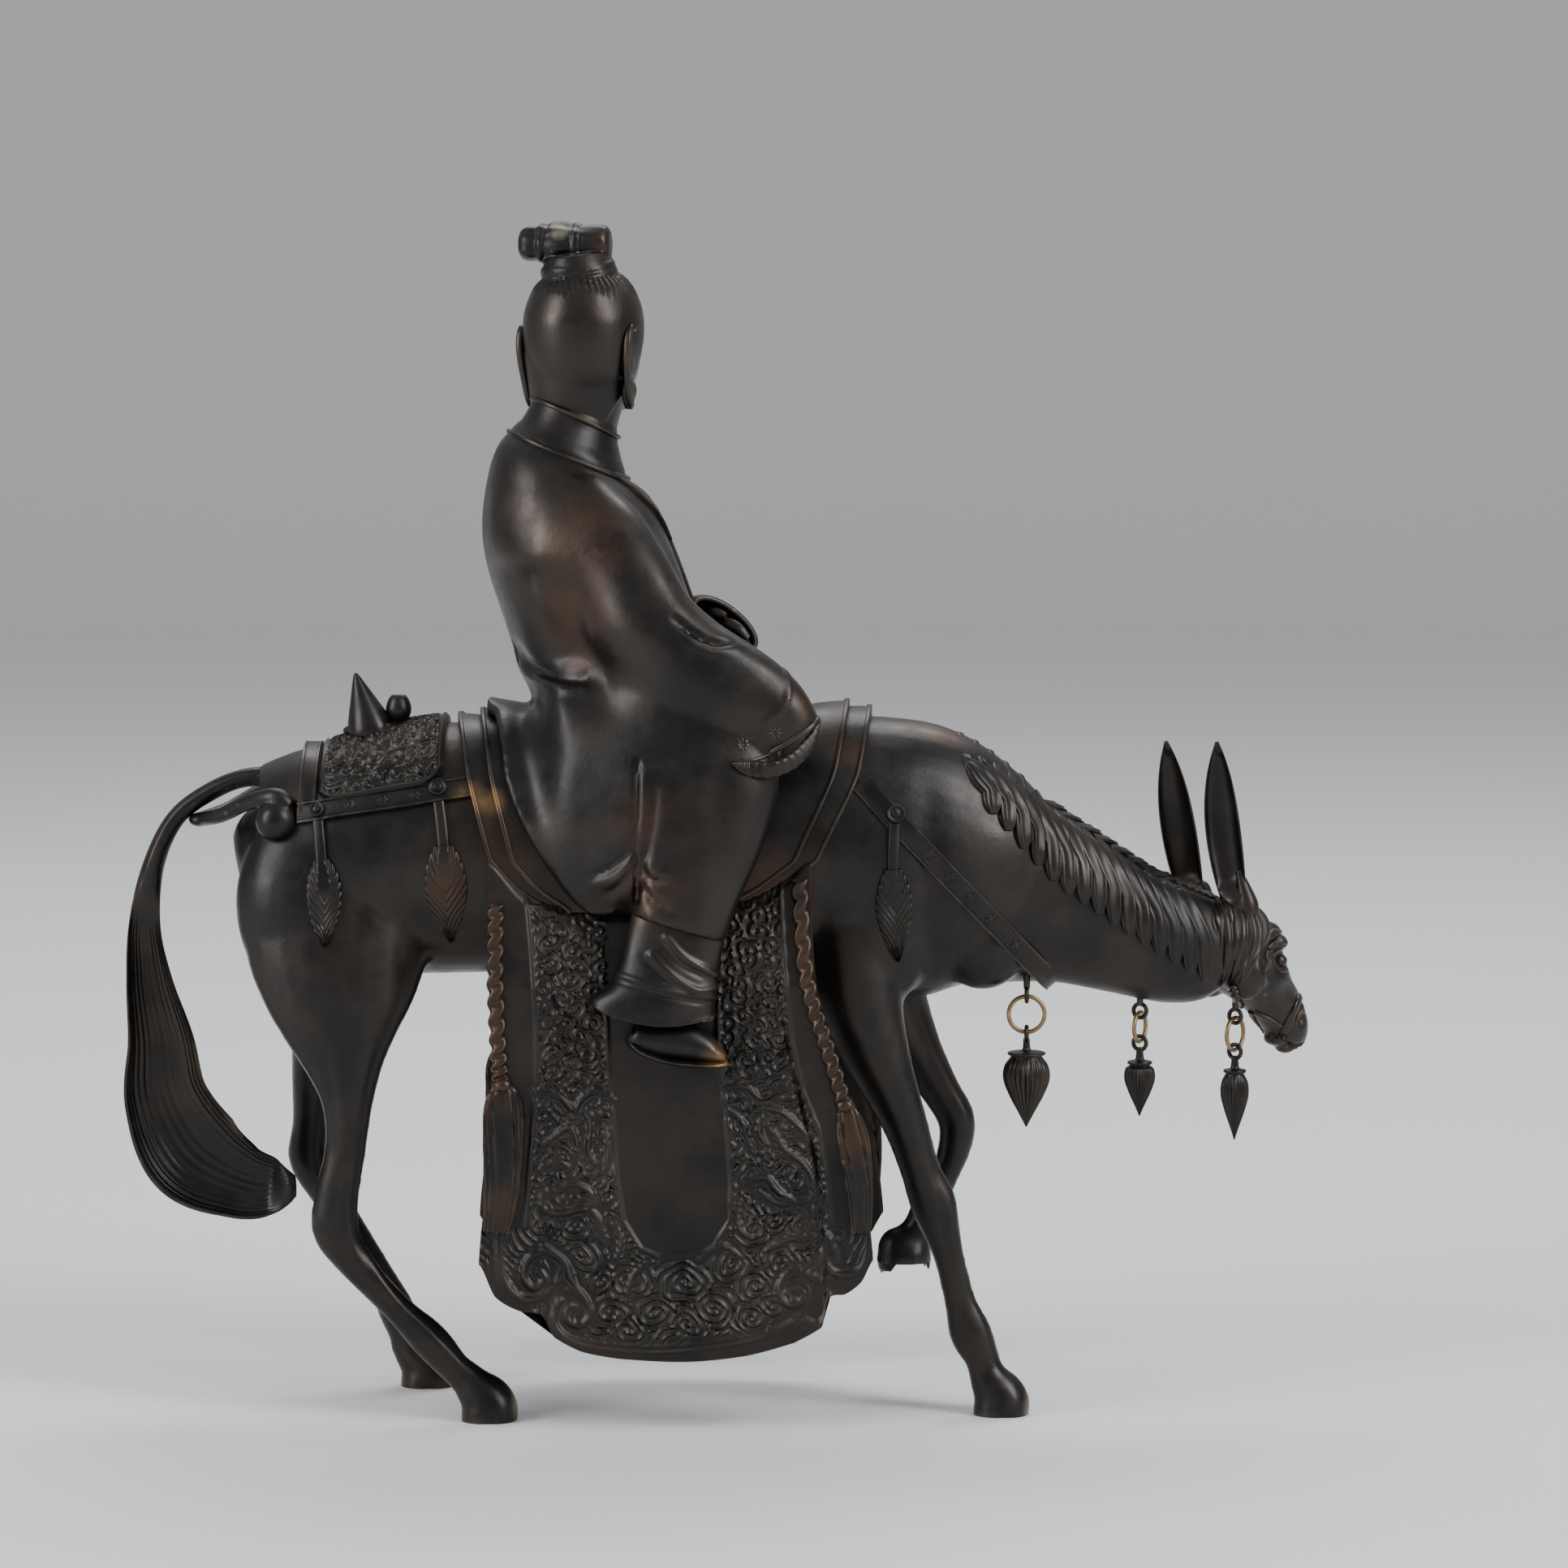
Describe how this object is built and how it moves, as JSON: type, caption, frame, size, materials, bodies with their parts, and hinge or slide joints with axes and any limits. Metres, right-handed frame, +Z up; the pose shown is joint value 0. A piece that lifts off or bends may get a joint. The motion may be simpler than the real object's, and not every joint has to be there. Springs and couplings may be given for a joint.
{
  "type": "bronze mule and rider figure",
  "caption": "Cast bronze figure of a robed rider on a walking mule with a lowered head, a saddle cloth and wire rings with drops.",
  "frame": {"origin": "middle of the bounding box at the level of the hoof soles", "axes": "+X towards the mule's head, +Y towards its left side, +Z up"},
  "size_m": [0.2982, 0.0908, 0.2969],
  "materials": {
    "dark_bronze": "dark brown-black satin patina, worn to warm brown on the high edges",
    "ring_wire": "dull yellow wire"
  },
  "bodies": {
    "root": {"mule": "dark_bronze", "rider": "dark_bronze", "chest_ring": "ring_wire", "chest_drop": "dark_bronze", "throat_ring": "ring_wire", "throat_drop": "dark_bronze", "cheek_ring": "ring_wire", "cheek_drop": "dark_bronze"}
  },
  "joints": []
}
